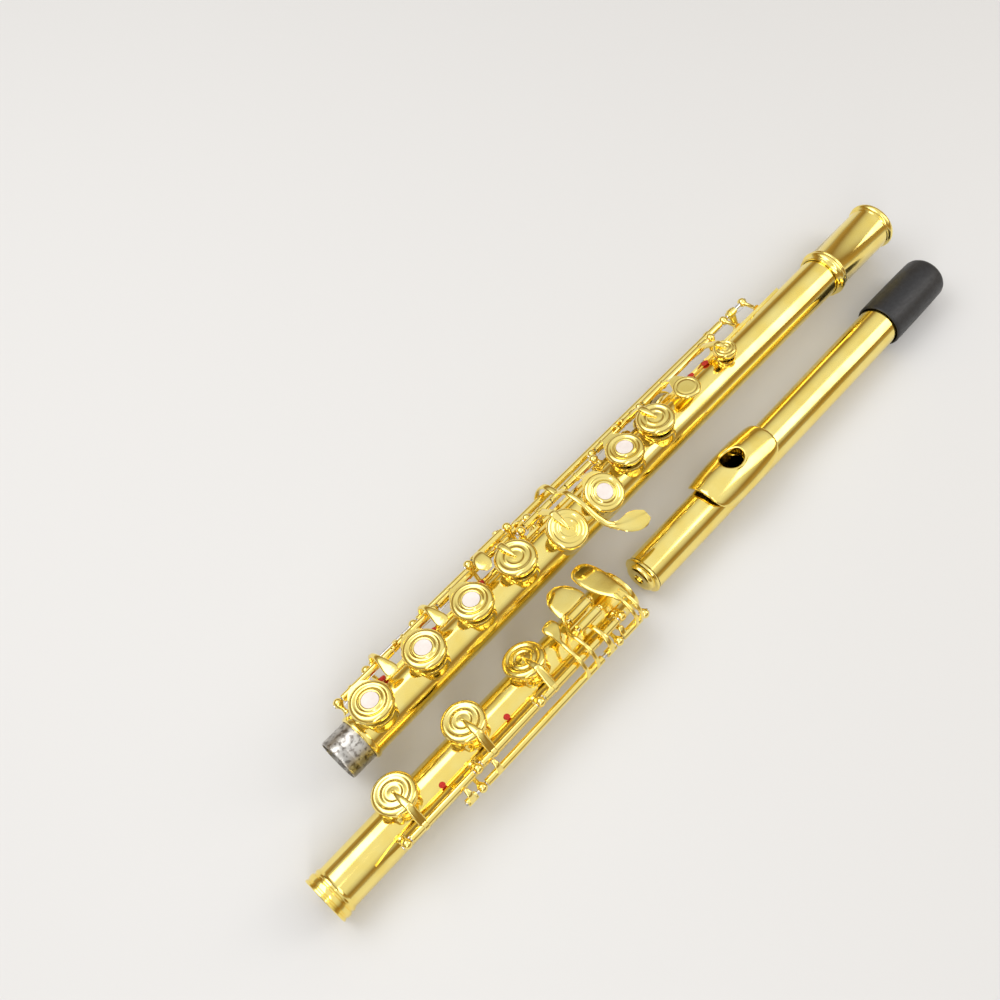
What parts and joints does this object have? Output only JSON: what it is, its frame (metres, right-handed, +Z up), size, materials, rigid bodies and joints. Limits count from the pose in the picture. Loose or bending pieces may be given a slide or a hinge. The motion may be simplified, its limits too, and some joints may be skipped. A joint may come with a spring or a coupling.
{
  "type": "concert flute",
  "caption": "Open-hole metal transverse flute in three sections laid side by side, with hinged key cups, rods on posts, a lip plate and a plastic tenon cap.",
  "frame": {"origin": "middle of the underside of the three sections as they lie", "axes": "+X along the tubes from the foot's open end towards the barrel, +Y towards the body section's rods, +Z up"},
  "size_m": [0.406, 0.074, 0.0374],
  "materials": {
    "gold": "polished gold plate",
    "silver": "bare nickel silver, scuffed",
    "steel": "drawn steel",
    "pad": "felt under a thin skin",
    "plug": "silicone",
    "black": "satin",
    "cork": "natural cork"
  },
  "bodies": {
    "body_section": {"body_tube": "gold", "barrel": "gold", "body_tenon": "silver", "body_rib": "gold", "thumb_rib": "gold", "lower_rod": "steel", "upper_rod": "steel", "offset_g_rod": "steel", "b_flat_lever_rod": "steel", "thumb_rod": "steel"},
    "foot_section": {"foot_tube": "gold", "foot_rib": "gold", "foot_rod": "steel"},
    "head_section": {"head_tube": "gold", "lip_plate": "gold"},
    "crown": {"crown": "gold"},
    "stopper": {"stopper_screw": "gold", "stopper_cork": "cork"},
    "tenon_cap": {"tenon_cap": "black"},
    "upper_roller": {"upper_roller": "gold"},
    "lower_roller": {"lower_roller": "gold"},
    "d_key": {"d_key": "gold", "d_pad": "pad", "d_plug": "plug"},
    "e_key": {"e_key": "gold", "e_pad": "pad", "e_plug": "plug"},
    "f_key": {"f_key": "gold", "f_pad": "pad", "f_plug": "plug"},
    "f_sharp_key": {"f_sharp_key": "gold", "f_sharp_pad": "pad"},
    "lower_g_key": {"lower_g_key": "gold", "lower_g_pad": "pad"},
    "g_key": {"g_key": "gold", "g_pad": "pad", "g_plug": "plug"},
    "a_key": {"a_key": "gold", "a_pad": "pad", "a_plug": "plug"},
    "b_flat_key": {"b_flat_key": "gold", "b_flat_pad": "pad"},
    "index_key": {"index_key": "gold"},
    "thumb_key": {"thumb_key": "gold", "thumb_pad": "pad"},
    "thumb_b_flat_key": {"thumb_b_flat_key": "gold"},
    "g_sharp_key": {"g_sharp_key": "gold", "g_sharp_pad": "pad"},
    "d_trill_key": {"d_trill_key": "gold"},
    "d_sharp_trill_key": {"d_sharp_trill_key": "gold"},
    "b_flat_lever": {"b_flat_lever": "gold"},
    "foot_c_key": {"foot_c_key": "gold", "foot_c_pad": "pad"},
    "foot_c_sharp_key": {"foot_c_sharp_key": "gold", "foot_c_sharp_pad": "pad"},
    "d_sharp_lever": {"d_sharp_lever": "gold"},
    "d_sharp_key": {"d_sharp_key": "gold", "d_sharp_pad": "pad"},
    "c_sharp_lever": {"c_sharp_lever": "gold"},
    "c_lever": {"c_lever": "gold"}
  },
  "joints": [
    {"name": "foot_lift", "type": "slide", "parent": "body_section", "child": "foot_section", "axis": [0, 0, 1], "range_m": [0, 0.06]},
    {"name": "head_lift", "type": "slide", "parent": "body_section", "child": "head_section", "axis": [0, 0, 1], "range_m": [0, 0.06]},
    {"name": "crown_turn", "type": "hinge", "parent": "head_section", "child": "crown", "pos_m": [-0.02, -0.02185, 0.01116], "axis": [1, 0, 0], "range_deg": [-180, 180]},
    {"name": "stopper_travel", "type": "slide", "parent": "head_section", "child": "stopper", "axis": [1, 0, 0], "range_m": [-0.0004, 0.0004]},
    {"name": "tenon_cap_pull", "type": "slide", "parent": "head_section", "child": "tenon_cap", "axis": [1, 0, 0], "range_m": [0, 0.05]},
    {"name": "d_key_hinge", "type": "hinge", "parent": "body_section", "child": "d_key", "pos_m": [-0.151, 0.02946, 0.02323], "axis": [1, 0, 0], "range_deg": [0, 9]},
    {"name": "e_key_hinge", "type": "hinge", "parent": "body_section", "child": "e_key", "pos_m": [-0.151, 0.02946, 0.02323], "axis": [1, 0, 0], "range_deg": [0, 9]},
    {"name": "f_key_hinge", "type": "hinge", "parent": "body_section", "child": "f_key", "pos_m": [-0.151, 0.02946, 0.02323], "axis": [1, 0, 0], "range_deg": [0, 9]},
    {"name": "f_sharp_key_hinge", "type": "hinge", "parent": "body_section", "child": "f_sharp_key", "pos_m": [-0.151, 0.02946, 0.02323], "axis": [1, 0, 0], "range_deg": [0, 9]},
    {"name": "lower_g_key_hinge", "type": "hinge", "parent": "body_section", "child": "lower_g_key", "pos_m": [-0.151, 0.02596, 0.02752], "axis": [1, 0, 0], "range_deg": [0, 9]},
    {"name": "g_key_hinge", "type": "hinge", "parent": "body_section", "child": "g_key", "pos_m": [-0.151, 0.02596, 0.02752], "axis": [1, 0, 0], "range_deg": [0, 9]},
    {"name": "a_key_hinge", "type": "hinge", "parent": "body_section", "child": "a_key", "pos_m": [-0.151, 0.02946, 0.02323], "axis": [1, 0, 0], "range_deg": [0, 9]},
    {"name": "b_flat_key_hinge", "type": "hinge", "parent": "body_section", "child": "b_flat_key", "pos_m": [-0.151, 0.02946, 0.02323], "axis": [1, 0, 0], "range_deg": [0, 9]},
    {"name": "index_key_hinge", "type": "hinge", "parent": "body_section", "child": "index_key", "pos_m": [-0.151, 0.02946, 0.02323], "axis": [1, 0, 0], "range_deg": [0, 9]},
    {"name": "thumb_key_hinge", "type": "hinge", "parent": "body_section", "child": "thumb_key", "pos_m": [-0.151, 0.01538, 0.00381], "axis": [1, 0, 0], "range_deg": [0, 9]},
    {"name": "thumb_b_flat_key_hinge", "type": "hinge", "parent": "body_section", "child": "thumb_b_flat_key", "pos_m": [-0.151, 0.01538, 0.00381], "axis": [1, 0, 0], "range_deg": [0, 9]},
    {"name": "g_sharp_key_hinge", "type": "hinge", "parent": "body_section", "child": "g_sharp_key", "pos_m": [-0.151, 0.02596, 0.02752], "axis": [1, 0, 0], "range_deg": [0, 7]},
    {"name": "d_trill_key_hinge", "type": "hinge", "parent": "body_section", "child": "d_trill_key", "pos_m": [-0.151, 0.03274, 0.01763], "axis": [1, 0, 0], "range_deg": [0, 9]},
    {"name": "d_sharp_trill_key_hinge", "type": "hinge", "parent": "body_section", "child": "d_sharp_trill_key", "pos_m": [-0.151, 0.03274, 0.01763], "axis": [1, 0, 0], "range_deg": [0, 9]},
    {"name": "b_flat_lever_hinge", "type": "hinge", "parent": "body_section", "child": "b_flat_lever", "pos_m": [-0.151, 0.03089, 0.02925], "axis": [1, 0, 0], "range_deg": [0, 6]},
    {"name": "foot_c_key_hinge", "type": "hinge", "parent": "foot_section", "child": "foot_c_key", "pos_m": [-0.203, -0.02932, 0.02359], "axis": [-1, 0, 0], "range_deg": [0, 9]},
    {"name": "foot_c_sharp_key_hinge", "type": "hinge", "parent": "foot_section", "child": "foot_c_sharp_key", "pos_m": [-0.203, -0.02932, 0.02359], "axis": [-1, 0, 0], "range_deg": [0, 9]},
    {"name": "d_sharp_lever_hinge", "type": "hinge", "parent": "foot_section", "child": "d_sharp_lever", "pos_m": [-0.203, -0.03489, 0.01878], "axis": [-1, 0, 0], "range_deg": [0, 8]},
    {"name": "d_sharp_key_hinge", "type": "hinge", "parent": "foot_section", "child": "d_sharp_key", "pos_m": [-0.203, -0.02932, 0.02359], "axis": [1, 0, 0], "range_deg": [0, 8]},
    {"name": "c_sharp_lever_hinge", "type": "hinge", "parent": "foot_section", "child": "c_sharp_lever", "pos_m": [-0.203, -0.03489, 0.01878], "axis": [-1, 0, 0], "range_deg": [0, 6]},
    {"name": "c_lever_hinge", "type": "hinge", "parent": "foot_section", "child": "c_lever", "pos_m": [-0.203, -0.03489, 0.01878], "axis": [-1, 0, 0], "range_deg": [0, 6]},
    {"name": "upper_roller_spin", "type": "hinge", "parent": "c_sharp_lever", "child": "upper_roller", "pos_m": [-0.203, -0.01588, 0.02853], "axis": [1, 0, 0], "continuous": true},
    {"name": "lower_roller_spin", "type": "hinge", "parent": "c_lever", "child": "lower_roller", "pos_m": [-0.203, -0.0213, 0.02783], "axis": [1, 0, 0], "continuous": true}
  ],
  "couplings": [
    {"joint": "f_sharp_key_hinge", "follows": "f_key_hinge", "ratio": 1},
    {"joint": "lower_g_key_hinge", "follows": "g_key_hinge", "ratio": 1},
    {"joint": "foot_c_key_hinge", "follows": "c_lever_hinge", "ratio": 1.5},
    {"joint": "foot_c_sharp_key_hinge", "follows": "c_sharp_lever_hinge", "ratio": 1.5},
    {"joint": "d_sharp_key_hinge", "follows": "d_sharp_lever_hinge", "ratio": 1},
    {"joint": "stopper_travel", "follows": "crown_turn", "m_per_rad": 0.000125}
  ]
}
